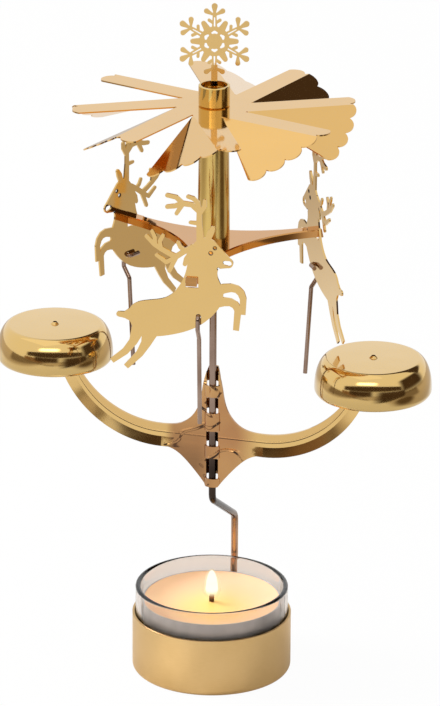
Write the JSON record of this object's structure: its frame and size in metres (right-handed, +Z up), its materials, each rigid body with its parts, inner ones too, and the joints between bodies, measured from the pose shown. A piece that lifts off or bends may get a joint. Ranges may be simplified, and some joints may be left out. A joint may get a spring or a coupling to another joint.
{
  "type": "candle-driven rotary chime",
  "caption": "Tealight cup with a bent rod, two bells on a crescent arm and a turning carrier with hanging reindeer, strikers, folded impeller and snowflake finial.",
  "frame": {"origin": "centre of the base cup's underside, on the turning axis", "axes": "+Z up along the turning axis, X along the bell arm, +Y towards the foot of the rod"},
  "size_m": [0.1224, 0.0754, 0.1929],
  "materials": {
    "satin_gold": "satin",
    "tube_gold": "polished",
    "sheet_gold": "mirror polished",
    "steel_wire": "drawn wire",
    "clear_glass": "clear",
    "aluminium": "drawn foil",
    "wax": "melted wax",
    "cotton": "charred"
  },
  "bodies": {
    "stand": {"base_cup": "satin_gold", "stand_rod": "steel_wire", "bell_arm": "sheet_gold", "bell_left": "sheet_gold", "bell_right": "sheet_gold", "bell_rivet_left": "sheet_gold", "bell_rivet_right": "sheet_gold"},
    "glass": {"glass_cup": "clear_glass"},
    "tealight": {"tealight_cup": "aluminium", "tealight_wax": "wax", "wick": "cotton", "wick_sustainer": "aluminium"},
    "rotor": {"spindle_tube": "tube_gold", "bearing_plug": "tube_gold", "top_collar": "tube_gold", "impeller": "sheet_gold", "snowflake": "sheet_gold", "carrier_star": "sheet_gold", "reindeer_right": "sheet_gold", "reindeer_left": "sheet_gold", "reindeer_front": "sheet_gold"},
    "striker_right": {"striker_right": "steel_wire"},
    "striker_left": {"striker_left": "steel_wire"},
    "striker_front": {"striker_front": "steel_wire"}
  },
  "joints": [
    {"name": "rotor_spin", "type": "hinge", "parent": "stand", "child": "rotor", "pos_m": [0, 0, 0.1636], "axis": [0, 0, 1], "continuous": true},
    {"name": "glass_lift", "type": "slide", "parent": "stand", "child": "glass", "axis": [0, 0, 1], "range_m": [0, 0.006]},
    {"name": "tealight_lift", "type": "slide", "parent": "glass", "child": "tealight", "axis": [0, 0, 1], "range_m": [0, 0.01]},
    {"name": "striker_right_swing", "type": "hinge", "parent": "rotor", "child": "striker_right", "pos_m": [0.02342, 0.0186, 0.11485], "axis": [0.8192, 0.5736, 0], "range_deg": [-8, 8]},
    {"name": "striker_left_swing", "type": "hinge", "parent": "rotor", "child": "striker_left", "pos_m": [-0.02781, 0.01098, 0.11485], "axis": [-0.9063, 0.4226, 0], "range_deg": [-8, 8]},
    {"name": "striker_front_swing", "type": "hinge", "parent": "rotor", "child": "striker_front", "pos_m": [0.00439, -0.02958, 0.11485], "axis": [0.0872, -0.9962, 0], "range_deg": [-8, 8]}
  ]
}
